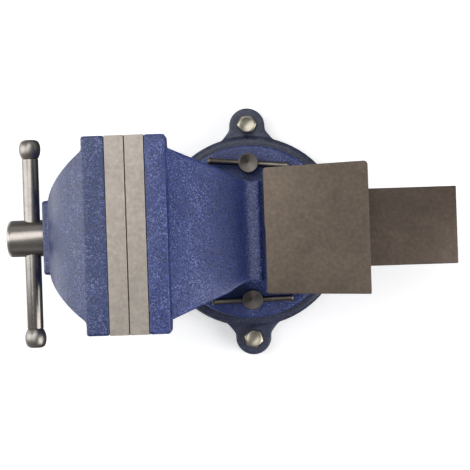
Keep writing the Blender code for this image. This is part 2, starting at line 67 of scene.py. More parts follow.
JAW_TOP = BODY_HIGH.z
HALF_JAW = JAW_HIGH.y
SCREW_Z = (SCREW_BOX[0].z + SCREW_BOX[1].z) / 2
PLATE_LEDGE = MOVING_PLATE[0].z - GAP
MOVING_SEAT = MOVING_PLATE[0].x - GAP
FIXED_SEAT = FIXED_PLATE[1].x + GAP
FIXED_APRON = BODY_LOW.x
ANVIL_REAR = BODY_HIGH.x

# Anvil, neck and screw housing of the body.
ANVIL_TOP = 0.205
HALF_ANVIL_FRONT = 0.0642
HALF_ANVIL = 0.0680
ANVIL_FRONT = 0.0133
GROOVE_FRONT = 0.0108
STRIP_FRONT = -0.0030
HALF_HOUSING = 0.052
HOUSING_LOW = 0.078
NECK_LOW = 0.168
FIXED_BLOCK_REAR = -0.0844
HALF_FLARE = 0.0870

# Front of the moving jaw.
BLOCK_FRONT = -0.1686
CASTING_FRONT = -0.2125
FRONT_WALL_INNER = -0.196
MOVING_APRON = -0.127
HALF_BOSS = 0.039
BOSS_TOP = 0.148
HALF_MOVING_FLARE = 0.0860

# Channel and slide: half width, low and high. Hollow: half width and top. Cores: half width, and
# the rear and top of the one in the moving head.
CHANNEL = (0.0412, 0.0895, 0.1505)
SLIDE = (0.0407, 0.0898, 0.1502)
HOLLOW = (0.028, 0.139)
HALF_CORE = 0.034
HEAD_CORE = (-0.152, 0.188)

# Base and foot.
BASE_TOP = 0.032
FOOT_TOP = 0.050
FOOT_RADIUS = 0.096
LUG_TOP = 0.028
LUG_CIRCLE = 0.120
SLOT_RADIUS = 0.075

# Fasteners: plate screws at (y, z), nut bolts at x, and the radius of a 10 mm bolt's hole.
PLATE_SCREW = (0.060, 0.214)
NUT_BOLT_X = (-0.055, -0.025)
BOLT_HOLE = 0.0053
SHAFT_BORE = 0.0146

# How far, in degrees, each base bolt's head and each lock bar is turned.
BASE_BOLT_TURN = {"left": 33.0, "right": 14.0, "front": 12.0, "rear": 40.0}
LOCK_BAR_TURN = {"left": -5.0, "right": 1.0}

AXIS_TURN = {
    "X": Euler((0.0, math.pi / 2, 0.0)),
    "Y": Euler((-math.pi / 2, 0.0, 0.0)),
    "Z": Euler((0.0, 0.0, 0.0)),
}
PLANE_TURN = {
    "XY": Matrix.Identity(4),
    "XZ": Matrix(((1, 0, 0, 0), (0, 0, -1, 0), (0, 1, 0, 0), (0, 0, 0, 1))),
    "YZ": Matrix(((0, 0, 1, 0), (1, 0, 0, 0), (0, 1, 0, 0), (0, 0, 0, 1))),
}
PLANE_NORMAL = {"XY": Vector((0, 0, 1)), "XZ": Vector((0, 1, 0)), "YZ": Vector((1, 0, 0))}


# Solids


def object_of(mesh, name="solid"):
    """A new object in the scene for a mesh, curve, light or camera."""
    made = bpy.data.objects.new(name, mesh)
    bpy.context.scene.collection.objects.link(made)
    return made


def baked(solid):
    """Replaces a solid by its evaluated mesh in the frame, with no modifiers left."""
    bpy.context.view_layer.update()
    evaluated = solid.evaluated_get(bpy.context.evaluated_depsgraph_get())
    mesh = bpy.data.meshes.new_from_object(evaluated)
    mesh.transform(solid.matrix_world)
    made = object_of(mesh, solid.name)
    bpy.data.objects.remove(solid, do_unlink=True)
    return made


def block(low, high):
    """A box between two corners."""
    form = bmesh.new()
    bmesh.ops.create_cube(form, size=1.0)
    size = Vector(high) - Vector(low)
    middle = (Vector(high) + Vector(low)) / 2
    matrix = Matrix.Translation(middle) @ Matrix.Diagonal((*size, 1))
    bmesh.ops.transform(form, matrix=matrix, verts=form.verts)
    mesh = bpy.data.meshes.new("block")
    form.to_mesh(mesh)
    form.free()
    return object_of(mesh)


def rod(radius, middle, length, axis, sides=ROUND):
    """A cylinder, or a prism of few sides, centred on middle."""
    form = bmesh.new()
    bmesh.ops.create_cone(
        form, cap_ends=True, segments=sides, radius1=radius, radius2=radius, depth=length
    )
    matrix = Matrix.Translation(middle) @ AXIS_TURN[axis].to_matrix().to_4x4()
    bmesh.ops.transform(form, matrix=matrix, verts=form.verts)
    mesh = bpy.data.meshes.new("rod")
    form.to_mesh(mesh)
    form.free()
    return object_of(mesh)


def turned(profile, place, axis, steps=ROUND, turn=None):
    """A turned solid: profile holds (radius, height) from the top of its axis down to the bottom."""
    mesh = bpy.data.meshes.new("profile")
    points = [(radius, 0.0, height) for radius, height in profile]
    mesh.from_pydata(points, [(i, i + 1) for i in range(len(points) - 1)], [])
    solid = object_of(mesh)
    solid.location = place
    solid.rotation_euler = turn or AXIS_TURN[axis]
    spin = solid.modifiers.new("Turn", "SCREW")
    spin.steps = steps
    spin.render_steps = steps
    spin.use_merge_vertices = True
    spin.merge_threshold = 0.00001
    return baked(solid)


def prism(outline, plane, low, high):
    """A flat outline drawn in a plane and made thick from low to high along the plane's normal."""
    curve = bpy.data.curves.new("outline", "CURVE")
    curve.dimensions = "2D"
    curve.fill_mode = "BOTH"
    curve.extrude = (high - low) / 2
    spline = curve.splines.new("POLY")
    spline.points.add(len(outline) - 1)
    for point, (across, up) in zip(spline.points, outline):
        point.co = (across, up, 0.0, 1.0)
    spline.use_cyclic_u = True
    drawn = object_of(curve)
    shift = Matrix.Translation(PLANE_NORMAL[plane] * (low + high) / 2)
    drawn.matrix_world = shift @ PLANE_TURN[plane]
    solid = baked(drawn)
    form = bmesh.new()
    form.from_mesh(solid.data)
    bmesh.ops.remove_doubles(form, verts=form.verts, dist=0.00001)
    bmesh.ops.recalc_face_normals(form, faces=form.faces)
    form.to_mesh(solid.data)
    form.free()
    return solid


def combine(solid, tools, operation, solver="MANIFOLD"):
    """A Boolean of a solid with each tool in turn; the tools are used up."""
    for tool in tools:
        step = solid.modifiers.new("Cut", "BOOLEAN")
        step.operation = operation
        step.solver = solver
        step.object = tool
    made = baked(solid)
    for tool in tools:
        bpy.data.objects.remove(tool, do_unlink=True)
    return made


def cut(solid, *tools):
    """The solid without its tools."""
    return combine(solid, tools, "DIFFERENCE")


def common(solid, *tools):
    """What the solid and all its tools share."""
    return combine(solid, tools, "INTERSECT", "EXACT")


def joined(solid, *tools):
    """The solid and its tools as one."""
    return combine(solid, tools, "UNION")


def together(*solids):
    """Several closed solids in one mesh, overlaps and all."""
    form = bmesh.new()
    for solid in solids:
        form.from_mesh(solid.data)
        bpy.data.objects.remove(solid, do_unlink=True)
    mesh = bpy.data.meshes.new("together")
    form.to_mesh(mesh)
    form.free()
    return object_of(mesh)


def cast(solid, smoothing=7):
    """Rounds every edge of a solid inside and out, as a sand casting has them."""
    remesh = solid.modifiers.new("Skin", "REMESH")
    remesh.mode = "VOXEL"
    remesh.voxel_size = VOXEL
    remesh.use_smooth_shade = True
    smooth = solid.modifiers.new("Round", "SMOOTH")
    smooth.factor = 0.5
    smooth.iterations = smoothing
    return baked(solid)


def bevelled(solid, width, segments=2, degrees=30):
    """Narrow rounded edges on a machined solid."""
    edge = solid.modifiers.new("Edge", "BEVEL")
    edge.width = width
    edge.segments = segments
    edge.limit_method = "ANGLE"
    edge.angle_limit = math.radians(degrees)
    edge.use_clamp_overlap = True
    return baked(solid)


def bend(start, control, end, steps=8):
    """Points along a quadratic curve, both ends included."""
    points = []
    for step in range(steps + 1):
        t = step / steps
        weights = ((1 - t) ** 2, 2 * t * (1 - t), t * t)
        points.append(tuple(sum(w * p[k] for w, p in zip(weights, (start, control, end))) for k in (0, 1)))
    return points


def arc(centre, radius, start, end, steps=8):
    """Points along a circle between two angles in degrees."""
    angles = [math.radians(start + (end - start) * step / steps) for step in range(steps + 1)]
    return [(centre[0] + radius * math.cos(a), centre[1] + radius * math.sin(a)) for a in angles]


def mirrored(half):
    """An outline or turned profile symmetric about its first axis, from the half on the positive side."""
    return half + [(along, -across) for along, across in reversed(half)]


def upright(half):
    """An outline symmetric about its second axis, from the half on the positive side."""
    return half + [(-across, up) for across, up in reversed(half)]


def show(solid, name, body, slot, materials, *nodes, sharp=35.0):
    """Names a finished piece, gives it its materials, and hangs it on its body in place of its nodes."""
    solid.name = name
    solid.data.name = name
    solid.data.materials.clear()
    for material in materials:
        solid.data.materials.append(MATERIALS[material])
    solid.data.shade_smooth()
    if sharp:
        solid.data.set_sharp_from_angle(angle=math.radians(sharp))
    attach(solid, body)
    if nodes:
        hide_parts(*nodes)
    return solid


def own_axis(solid, point, turn=0.0):
    """Puts a piece's origin on its own axis, so that its turning marks run round that axis."""
    place = Matrix.Translation(point) @ Matrix.Rotation(turn, 4, "Z")
    solid.data.transform(place.inverted())
    solid.matrix_world = place


def paint_faces(solid, index, wanted):
    """Gives a material index to the faces for which wanted(centres, normals) is true."""
    count = len(solid.data.polygons)
    centres = np.empty(count * 3)
    normals = np.empty(count * 3)
    solid.data.polygons.foreach_get("center", centres)
    solid.data.polygons.foreach_get("normal", normals)
    chosen = wanted(centres.reshape(-1, 3), normals.reshape(-1, 3))
    indices = np.empty(count, dtype=np.int32)
    solid.data.polygons.foreach_get("material_index", indices)
    indices[chosen] = index
    solid.data.polygons.foreach_set("material_index", indices)


# Materials


def node(tree, kind, **inputs):
    """A shader node; a keyword names an input with _ for a space, and its value may be another output."""
    made = tree.nodes.new(kind)
    for name, value in inputs.items():
        socket = made.inputs[name.replace("_", " ")]
        if isinstance(value, bpy.types.NodeSocket):
            tree.links.new(value, socket)
        else:
            socket.default_value = value
    return made


def new_material(name):
    """A material with its tree, its Principled shader and the piece's own coordinates in metres."""
    material = bpy.data.materials.new(name)
    material.use_nodes = True
    tree = material.node_tree
    shader = tree.nodes["Principled BSDF"]
    place = tree.nodes.new("ShaderNodeTexCoord").outputs["Object"]
    MATERIALS[name] = material
    return tree, shader, place


def noise(tree, place, scale, detail=2.0, roughness=0.5, distortion=0.0):
    """Smooth random grey, with about scale features a metre."""
    made = node(
        tree, "ShaderNodeTexNoise", Vector=place, Scale=scale, Detail=detail,
        Roughness=roughness, Distortion=distortion,
    )
    return made.outputs["Fac"]


def stretched(tree, place, scale):
    """The coordinates multiplied per axis, for streaks and brushed lines."""
    made = tree.nodes.new("ShaderNodeMapping")
    made.inputs["Scale"].default_value = scale
    tree.links.new(place, made.inputs["Vector"])
    return made.outputs["Vector"]


def ramp(tree, factor, stops):
    """A colour or grey ramp: stops are (place, colour or grey)."""
    made = tree.nodes.new("ShaderNodeValToRGB")
    tree.links.new(factor, made.inputs["Fac"])
    elements = made.color_ramp.elements
    while len(elements) < len(stops):
        elements.new(0.5)
    for element, (place, value) in zip(elements, stops):
        element.position = place
        element.color = (*value, 1.0) if isinstance(value, tuple) else (value, value, value, 1.0)
    return made.outputs["Color"]


def math_node(tree, operation, first, second):
    """A Math node's output; each side may be an output or a number."""
    made = tree.nodes.new("ShaderNodeMath")
    made.operation = operation
    for socket, value in zip(made.inputs, (first, second)):
        if isinstance(value, bpy.types.NodeSocket):
            tree.links.new(value, socket)
        else:
            socket.default_value = value
    return made.outputs[0]


def blended(tree, factor, first, second, mode="MIX"):
    """Two colours mixed; each may be an output or a plain colour."""
    made = tree.nodes.new("ShaderNodeMix")
    made.data_type = "RGBA"
    made.blend_type = mode
    for socket, value in ((made.inputs[0], factor), (made.inputs[6], first), (made.inputs[7], second)):
        if isinstance(value, bpy.types.NodeSocket):
            tree.links.new(value, socket)
        else:
            socket.default_value = (*value, 1.0) if isinstance(value, tuple) else value
    return made.outputs[2]


def bump(tree, shader, layers):
    """Bumps in order of size: each layer is (height output, depth in metres, strength)."""
    normal = None
    for height, depth, strength in layers:
        made = node(tree, "ShaderNodeBump", Height=height, Distance=depth, Strength=strength)
        if normal:
            tree.links.new(normal, made.inputs["Normal"])
        normal = made.outputs["Normal"]
    tree.links.new(normal, shader.inputs["Normal"])


def cells(tree, place, scale):
    """Crisp random cells: two independent grey values for each cell."""
    made = node(tree, "ShaderNodeTexVoronoi", Vector=place, Scale=scale)
    parts = node(tree, "ShaderNodeSeparateColor", Color=made.outputs["Color"]).outputs
    return parts[0], parts[1]


def enamel(name, deep, light, roughness, grain_depth=0.0006, glint=0.8, fewer_valley_glints=True):
    """Hammered enamel over a sand casting: granular relief, pale flecks painted in as glints of light,
    and darker cells painted in as shade in its pits.

    Along the body's swept valley, between two stations along X, fewer glints are painted, since little
    light glints there.
    """
    tree, shader, place = new_material(name)
    cloud = noise(tree, place, 26.0, 4.0, 0.6)
    patch = noise(tree, place, 60.0, 3.0, 0.6)
    grain = noise(tree, place, 420.0, 3.0, 0.68, 0.2)
    glint_cell, pit_shade_cell = cells(tree, place, 960.0)
    glint_amount = ramp(tree, patch, [(0.36, 0.25 * glint), (0.62, glint)])
    # Fewer painted glints along the body's valley, where little light glints.
    if fewer_valley_glints:
        station = node(tree, "ShaderNodeSeparateXYZ", Vector=place).outputs["X"]
        spread = math_node(tree, "ADD", math_node(tree, "MULTIPLY", station, 5.0), 0.5)
        valley_glint_factor = ramp(tree, spread, [(0.24, 1.0), (0.34, 0.2), (0.46, 0.2), (0.48, 1.0)])
        glint_amount = math_node(tree, "MULTIPLY", glint_amount, valley_glint_factor)
    # Pale flecks laid into the colour: painted glints, the light that the hammered bumps catch.
    painted_glints = math_node(tree, "MULTIPLY", ramp(tree, glint_cell, [(0.70, 0.0), (0.86, 1.0)]), glint_amount)
    tone = ramp(tree, cloud, [(0.32, deep), (0.70, light)])
    glint_colour = tuple(min(1.0, 1.7 * c + 0.120) for c in light)
    # Darker cells: painted shade in the pits of the hammered relief.
    pit_shade = ramp(tree, pit_shade_cell, [(0.10, 0.35), (0.42, 1.0)])
    shaded = blended(tree, painted_glints, blended(tree, 1.0, tone, pit_shade, "MULTIPLY"), glint_colour)
    tree.links.new(shaded, shader.inputs["Base Color"])
    rough = ramp(tree, cloud, [(0.25, roughness - 0.05), (0.8, roughness + 0.07)])
    tree.links.new(rough, shader.inputs["Roughness"])
    shader.inputs["Specular IOR Level"].default_value = 0.6
    bump(tree, shader, [(cloud, 0.0012, 0.30), (grain, grain_depth, 1.0)])


def machined(name, base, dark, roughness, metallic, lines, line_depth=0.00004):
    """Planed or ground iron: long fine tool lines, oil stains and small dents."""
    tree, shader, place = new_material(name)
    tool = noise(tree, stretched(tree, place, lines), 1.0, 3.0, 0.6)
    stains = noise(tree, place, 38.0, 5.0, 0.62, 0.6)
    mottle = noise(tree, place, 240.0, 3.0, 0.6)
    colour = ramp(tree, stains, [(0.28, dark), (0.70, base)])
    worn = ramp(tree, mottle, [(0.35, 0.86), (0.7, 1.10)])
    tree.links.new(blended(tree, 1.0, colour, worn, "MULTIPLY"), shader.inputs["Base Color"])
    streak = math_node(tree, "MULTIPLY", tool, 0.16)
    rough = math_node(tree, "ADD", streak, roughness - 0.08)
    tree.links.new(rough, shader.inputs["Roughness"])
    shader.inputs["Metallic"].default_value = metallic
    bump(tree, shader, [(stains, 0.0003, 0.2), (tool, line_depth, 0.5), (mottle, 0.00005, 0.4)])


def ringed(
    name, base, dark, roughness, axis,
    pitch=1100.0, depth=0.00006, anisotropy=0.0, contrast=0.2, waver=0.012,
):
    """Turned steel: fine rings round the piece's own axis, on its side and on its ends.

    pitch is in rings a metre, contrast is how far rings differ, and waver is the strength of slow dents.
    """
    tree, shader, place = new_material(name)
    parts = node(tree, "ShaderNodeSeparateXYZ", Vector=place).outputs
    across = [parts[k] for k in "XYZ" if k != axis]
    squares = [math_node(tree, "MULTIPLY", part, part) for part in across]
    radius = math_node(tree, "SQRT", math_node(tree, "ADD", *squares), 0.0)
    along = math_node(tree, "ADD", radius, parts[axis])
    line = tree.nodes.new("ShaderNodeTexNoise")
    line.noise_dimensions = "1D"
    tree.links.new(math_node(tree, "MULTIPLY", along, pitch), line.inputs["W"])
    line.inputs["Scale"].default_value = 1.0
    line.inputs["Detail"].default_value = 2.0
    rings = line.outputs["Fac"]
    stains = noise(tree, place, 70.0, 4.0, 0.6, 0.5)
    colour = ramp(tree, stains, [(0.28, dark), (0.70, base)])
    shade = ramp(tree, rings, [(0.30, 1.0 - contrast), (0.7, 1.0 + 0.6 * contrast)])
    tree.links.new(blended(tree, 1.0, colour, shade, "MULTIPLY"), shader.inputs["Base Color"])
    swing = math_node(tree, "MULTIPLY", rings, 0.9 * contrast)
    rough = math_node(tree, "ADD", swing, roughness - 0.45 * contrast)
    tree.links.new(rough, shader.inputs["Roughness"])
    shader.inputs["Metallic"].default_value = 1.0
    if anisotropy:
        round_axis = tree.nodes.new("ShaderNodeTangent")
        round_axis.direction_type = "RADIAL"
        round_axis.axis = axis
        tree.links.new(round_axis.outputs["Tangent"], shader.inputs["Tangent"])
        shader.inputs["Anisotropic"].default_value = anisotropy
    bump(tree, shader, [(stains, 0.0002, waver), (rings, depth, 0.5)])


def dull_metal(name, base, dark, roughness, metallic=1.0):
    """Plated or blackened steel with a fine even grain and darker patches."""
    tree, shader, place = new_material(name)
    patches = noise(tree, place, 120.0, 4.0, 0.65, 0.4)
    grain = noise(tree, place, 1400.0, 2.0, 0.6)
    tree.links.new(ramp(tree, patches, [(0.3, dark), (0.7, base)]), shader.inputs["Base Color"])
    rough = math_node(tree, "ADD", math_node(tree, "MULTIPLY", patches, 0.2), roughness - 0.1)
    tree.links.new(rough, shader.inputs["Roughness"])
    shader.inputs["Metallic"].default_value = metallic
    bump(tree, shader, [(patches, 0.0002, 0.1), (grain, 0.00004, 0.5)])


# Each call gives the material's name, its two linear colours and its roughness, then its function's own.
MATERIALS = {}
enamel("blue_enamel", (0.010, 0.027, 0.156), (0.020, 0.042, 0.190), 0.32)
# The moving jaw's enamel is a darker, greyer copy of the body's blue: painted shade for the dimmer light on
# the moving jaw.
enamel("shaded_jaw_enamel", (0.012, 0.028, 0.122), (0.023, 0.043, 0.152), 0.32, fewer_valley_glints=False)
enamel("base_enamel", (0.010, 0.016, 0.046), (0.022, 0.031, 0.078), 0.40, 0.00035, 0.35, False)
machined("anvil_iron", (0.160, 0.127, 0.100), (0.122, 0.098, 0.077), 0.46, 0.85, (60.0, 900.0, 60.0))
machined("slide_iron", (0.123, 0.095, 0.075), (0.090, 0.070, 0.057), 0.42, 0.85, (30.0, 1400.0, 1400.0))
machined("bare_iron", (0.120, 0.098, 0.082), (0.070, 0.060, 0.052), 0.5, 0.85, (40.0, 900.0, 900.0))
machined("plate_steel", (0.385, 0.347, 0.308), (0.338, 0.304, 0.268), 0.42, 0.85, (700.0, 40.0, 40.0))
ringed("screw_steel", (0.39, 0.356, 0.327), (0.32, 0.291, 0.268), 0.29, "X", 2400.0, 0.000008, 0.0, 0.06)
ringed("bar_steel", (0.29, 0.270, 0.248), (0.22, 0.204, 0.190), 0.25, "Y", 2600.0, 0.00002, 0.0, 0.06, 0.04)
ringed("knob_steel", (0.33, 0.306, 0.283), (0.27, 0.251, 0.232), 0.37, "Y", 2600.0, 0.000008, 0.0, 0.06)
ringed("bolt_steel", (0.145, 0.128, 0.116), (0.082, 0.073, 0.066), 0.32, "Z", 1500.0, 0.00006, 0.8)
ringed("rod_steel", (0.20, 0.178, 0.155), (0.10, 0.088, 0.078), 0.36, "X")
dull_metal("plated_steel", (0.42, 0.383, 0.305), (0.32, 0.297, 0.240), 0.32)
dull_metal("black_steel", (0.045, 0.045, 0.048), (0.020, 0.020, 0.022), 0.42, 0.85)


# Base


def lug_outline():
    """A base lug seen from above, along +X: fillets off the round base, then a round end."""
    centre, radius = 0.1185, 0.020
    half = bend((0.092, 0.040), (0.1065, 0.0245), (centre - 0.004, radius), 8)
    half += arc((centre, 0.0), radius, 82, 0, 10)
    return half + [(along, -across) for along, across in reversed(half[:-1])]


def make_base():
    """The round base: rim, lugs and ribs as a casting, then the turned face, T-slot, holes and spigot."""
    rim = BASE_HIGH.x - 0.0315
    rim_round = arc((rim - 0.006, BASE_TOP - 0.006), 0.006, 90, 12, 6)
    profile = [(0.0, BASE_TOP), *rim_round, (rim, 0.0), (0.098, 0.0), (0.096, 0.004), (0.057, 0.004)]
    profile += [(0.055, 0.022), (0.036, 0.022), (0.034, 0.0), (0.0, 0.0)]
    parts = [turned(profile, (0, 0, 0), "Z")]
    for quarter in range(4):
        lug = prism(lug_outline(), "XY", 0.0, LUG_TOP)
        lug.data.transform(Matrix.Rotation(quarter * math.pi / 2, 4, "Z"))
        parts.append(lug)
    for rib in range(8):
        web = block((0.030, -0.0025, 0.0015), (0.099, 0.0025, 0.010))
        web.data.transform(Matrix.Rotation((rib + 0.5) * math.pi / 4, 4, "Z"))
        parts.append(web)
    base = cast(together(*parts), 6)
    faced = BASE_TOP - 0.00005
    flat_top = turned([(0.0, 0.05), (0.100, 0.05), (0.100, faced), (0.0, faced)], (0, 0, 0), "Z")
    under = block((-0.2, -0.2, -0.02), (0.2, 0.2, 0.00005))
    slot = [(0.0678, 0.034), (0.0822, 0.034), (0.0822, 0.022), (0.0887, 0.022), (0.0887, 0.012)]
    slot += [(0.062, 0.012), (0.062, 0.022), (0.0678, 0.022), (0.0678, 0.034)]
    groove = turned(slot, (0, 0, 0), "Z")
    pocket = block((-0.013, -0.013, -0.01), (0.013, 0.013, 0.014))
    pocket.data.transform(Matrix.Translation((SLOT_RADIUS, 0, 0)))
    pocket.data.transform(Matrix.Rotation(math.pi / 4, 4, "Z"))
    tools = [flat_top, under, groove, pocket]
    for quarter in range(4):
        angle = quarter * math.pi / 2
        spot = (LUG_CIRCLE * math.cos(angle), LUG_CIRCLE * math.sin(angle), 0.02)
        tools.append(rod(0.007, spot, 0.06, "Z", 48))
    base = cut(base, *tools)
    top = BASE_HIGH.z
    spigot = [(0.0, top), (0.0285, top), (0.030, top - 0.0015), (0.030, 0.030), (0.0, 0.030)]
    base = joined(base, turned(spigot, (0, 0, 0), "Z"))
    paint_faces(base, 1, lambda c, n: (np.hypot(c[:, 0], c[:, 1]) < 0.0955) & (c[:, 2] > 0.0115))
    show(base, "base_casting", "base", "dark_enamel", ["base_enamel", "bare_iron"], "swivel_base")


def hex_head(across_flats, height, middle, turn):
    """A hexagon head with its corners turned off at the top, standing on the point middle."""
    corner = across_flats / math.sqrt(3)
    head = rod(corner, (0, 0, height / 2), height, "Z", 6)
    flat = across_flats / 2
    inner = flat * 0.86
    drop = (corner - inner) * math.tan(math.radians(30))
    outer = corner * 1.1
    dish = height - 0.0003
    crown = [(0.0, dish), (inner - 0.0009, dish), (inner - 0.0004, height), (inner, height)]
    crown += [(outer, height - drop * (outer - inner) / (corner - inner)), (outer, -0.001), (0.0, -0.001)]
    head = common(head, turned(crown, (0, 0, 0), "Z", 96))
    head.data.transform(Matrix.Translation(middle) @ Matrix.Rotation(math.radians(turn), 4, "Z"))
    return head


def make_base_bolts():
    """Hexagon bolts in the four lugs, each with the turn it was tightened to."""
    for name, turn in BASE_BOLT_TURN.items():
        low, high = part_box("base_bolt_" + name)
        middle = (low + high) / 2
        seat = LUG_TOP + GAP
        root = seat + 0.001
        shank = [(0.0, root), (0.006, root), (0.006, low.z + 0.001), (0.005, low.z), (0.0, low.z)]
        parts = [turned(shank, (middle.x, middle.y, 0), "Z", 32)]
        flange = [(0.0, root), (0.0089, root), (0.0089, seat), (0.0, seat)]
        parts.append(turned(flange, (middle.x, middle.y, 0), "Z", 48))
        rise = 0.0006
        head = hex_head(0.019, high.z - seat - rise, (middle.x, middle.y, seat + rise), turn)
        bolt = bevelled(joined(head, *parts), 0.0003, 2, 40)
        show(bolt, "hex_bolt_" + name, "base", "plated_steel", ["plated_steel"], "base_bolt_" + name)


# Body casting


def fixed_head():
    """The fixed jaw, neck and screw housing, from plan, side and front outlines."""
    margin = 0.006
    flare = bend((-0.0240, 0.0628), (-0.0125, 0.0540), (-0.0040, HALF_HOUSING + 0.0005), 8)
    plan = [(FIXED_APRON - margin, HALF_JAW), (FIXED_BLOCK_REAR, HALF_JAW)]
    plan += [(FIXED_BLOCK_REAR, HALF_FLARE + 0.0005)] + flare + [(ANVIL_REAR + margin, HALF_HOUSING)]
    neck = bend((FIXED_BLOCK_REAR, 0.2230), (-0.0385, 0.1735), (STRIP_FRONT, NECK_LOW - 0.0012), 14)
    neck += [(0.0060, NECK_LOW + 0.0002), (0.0088, NECK_LOW + 0.0002), (0.0125, NECK_LOW - 0.0030)]
    side = [(FIXED_APRON, HOUSING_LOW), (FIXED_APRON, PLATE_LEDGE), (FIXED_SEAT, PLATE_LEDGE)]
    side += [(FIXED_SEAT, JAW_TOP), (FIXED_BLOCK_REAR, JAW_TOP)] + neck
    side += [(ANVIL_REAR, NECK_LOW - 0.010), (ANVIL_REAR, HOUSING_LOW)]
    edge, low_edge = HALF_JAW + 0.003, HALF_HOUSING + 0.002
    front = [(edge, JAW_TOP + margin), (edge, 0.182)]
    front += bend((edge, 0.182), (0.070, 0.160), (low_edge, 0.112), 10)[1:]
    front += [(low_edge, HOUSING_LOW - margin)]
    head = prism(mirrored(plan), "XY", HOUSING_LOW - margin, JAW_TOP + margin)
    side_tool = prism(side, "XZ", -HALF_JAW - margin, HALF_JAW + margin)
    front_tool = prism(upright(front), "YZ", FIXED_APRON - margin, ANVIL_REAR + margin)
    return common(head, side_tool, front_tool)


def make_body():
    """The body: its head, anvil, column and foot as one casting, then every machined face and hole."""
    anvil_low = ANVIL_TOP - 0.0012
    edge = HALF_ANVIL - 0.0004
    front = [(edge, anvil_low), (edge, 0.180)]
    front += bend((edge, 0.180), (0.061, 0.162), (HALF_HOUSING - 0.004, 0.150), 5)[1:]
    plan = mirrored([(ANVIL_FRONT - GAP, HALF_ANVIL_FRONT - 0.0004), (ANVIL_REAR + GAP, edge)])
    anvil = prism(upright(front), "YZ", ANVIL_FRONT, ANVIL_REAR)
    anvil = common(anvil, prism(plan, "XY", 0.149, 0.210))
    column = [(0.036, HOUSING_LOW + 0.008), (0.036, 0.062)]
    column += bend((0.036, 0.062), (0.0368, 0.053), (0.046, 0.0480), 5)
    foot_edge = arc((FOOT_RADIUS - 0.0018, FOOT_TOP - 0.0018), 0.0018, 90, 0, 5)
    foot = [(0.0, FOOT_TOP), *foot_edge, (FOOT_RADIUS, BASE_TOP), (0.0, BASE_TOP)]
    body = together(
        fixed_head(),
        anvil,
        prism(upright(column), "YZ", -0.086, 0.060),
        turned(foot, (0, 0, 0), "Z"),
    )
    body = cast(body)
    half_channel, channel_low, channel_high = CHANNEL
    tools = [
        block((-0.15, -half_channel, channel_low), (0.15, half_channel, channel_high)),
        block((-0.3, -0.2, 0.0), (0.3, 0.2, BASE_TOP + GAP)),
        block((-0.3, -0.2, JAW_TOP - 0.0001), (0.0, 0.2, 0.3)),
        block((0.0105, -0.2, anvil_low), (0.2, 0.2, 0.3)),
        block((FIXED_APRON - 0.05, -0.15, 0.0), (FIXED_APRON + 0.0003, 0.15, PLATE_LEDGE)),
        block((FIXED_APRON - 0.05, -0.15, PLATE_LEDGE), (FIXED_SEAT + 0.0001, 0.15, 0.3)),
        block((ANVIL_REAR - 0.0002, -0.15, 0.0), (0.2, 0.15, 0.3)),
        block((GROOVE_FRONT, -0.066, NECK_LOW - 0.010), (ANVIL_FRONT, 0.066, 0.3)),
        rod(0.0306, (0, 0, 0.031), 0.020, "Z"),
        block((-0.073, -0.0240, 0.020), (0.046, 0.0240, 0.074)),
        block((-0.094, -HALF_CORE, channel_high - 0.010), (-0.062, HALF_CORE, 0.190)),
        block((0.027, -HALF_CORE, channel_high - 0.010), (0.104, HALF_CORE, 0.188)),
    ]
    tools += [rod(BOLT_HOLE, (x, 0, 0.082), 0.030, "Z", 32) for x in NUT_BOLT_X]
    for sign in SIDES.values():
        tools.append(rod(0.0068, (0, sign * SLOT_RADIUS, 0.042), 0.040, "Z", 32))
        hole = (FIXED_SEAT + 0.004, sign * PLATE_SCREW[0], PLATE_SCREW[1])
        tools.append(rod(BOLT_HOLE, hole, 0.024, "X", 32))
    body = cut(body, *tools)
    paint_faces(body, 1, in_channel)
    paint_faces(body, 1, lambda c, n: (n[:, 0] < -0.99) & (c[:, 0] < FIXED_SEAT + 0.001))
    show(body, "body_casting", "body", "blue_enamel", ["blue_enamel", "bare_iron"], "vise_body")
    pad = bevelled(prism(anvil_outline(), "XY", anvil_low + 0.00002, ANVIL_TOP), 0.0009, 3)
    show(pad, "anvil_pad", "body", "machined_iron", ["anvil_iron"])


def anvil_outline():
    """The machined pad seen from above: wider at the rear, with a small step in its front edge."""
    front, rear = HALF_ANVIL_FRONT, HALF_ANVIL
    step_front = ANVIL_FRONT + 0.0007
    outline = [(step_front, -front + 0.0012), (step_front, 0.0020), (ANVIL_FRONT, 0.0045)]
    outline += arc((ANVIL_FRONT + 0.003, front - 0.003), 0.003, 180, 92, 5)
    outline += arc((ANVIL_REAR - 0.004, rear - 0.004), 0.004, 90, 0, 6)
    outline += arc((ANVIL_REAR - 0.0015, -rear + 0.0015), 0.0015, 0, -88, 4)
    return outline + [(step_front + 0.0012, -front)]


def in_channel(centres, normals):
    """Faces on the walls of the slide channel, the cores above it and the underside of the foot."""
    half, low, high = CHANNEL
    along, across, up = centres[:, 0], np.abs(centres[:, 1]), centres[:, 2]
    near, core_top = 0.0002, 0.1975
    inside = (across < half + near) & (up > low - near) & (up < core_top)
    walls = inside & ((up < high + near) | (across < HALF_CORE + near))
    deep = (along > FIXED_APRON + 0.001) & (along < ANVIL_REAR - 0.001)
    neck_top = (up > 0.1555) & (normals[:, 2] > 0.2)
    foot = (up < BASE_TOP + 0.0006) & (normals[:, 2] < -0.9)
    return (walls & deep & ~neck_top) | foot


# Moving jaw


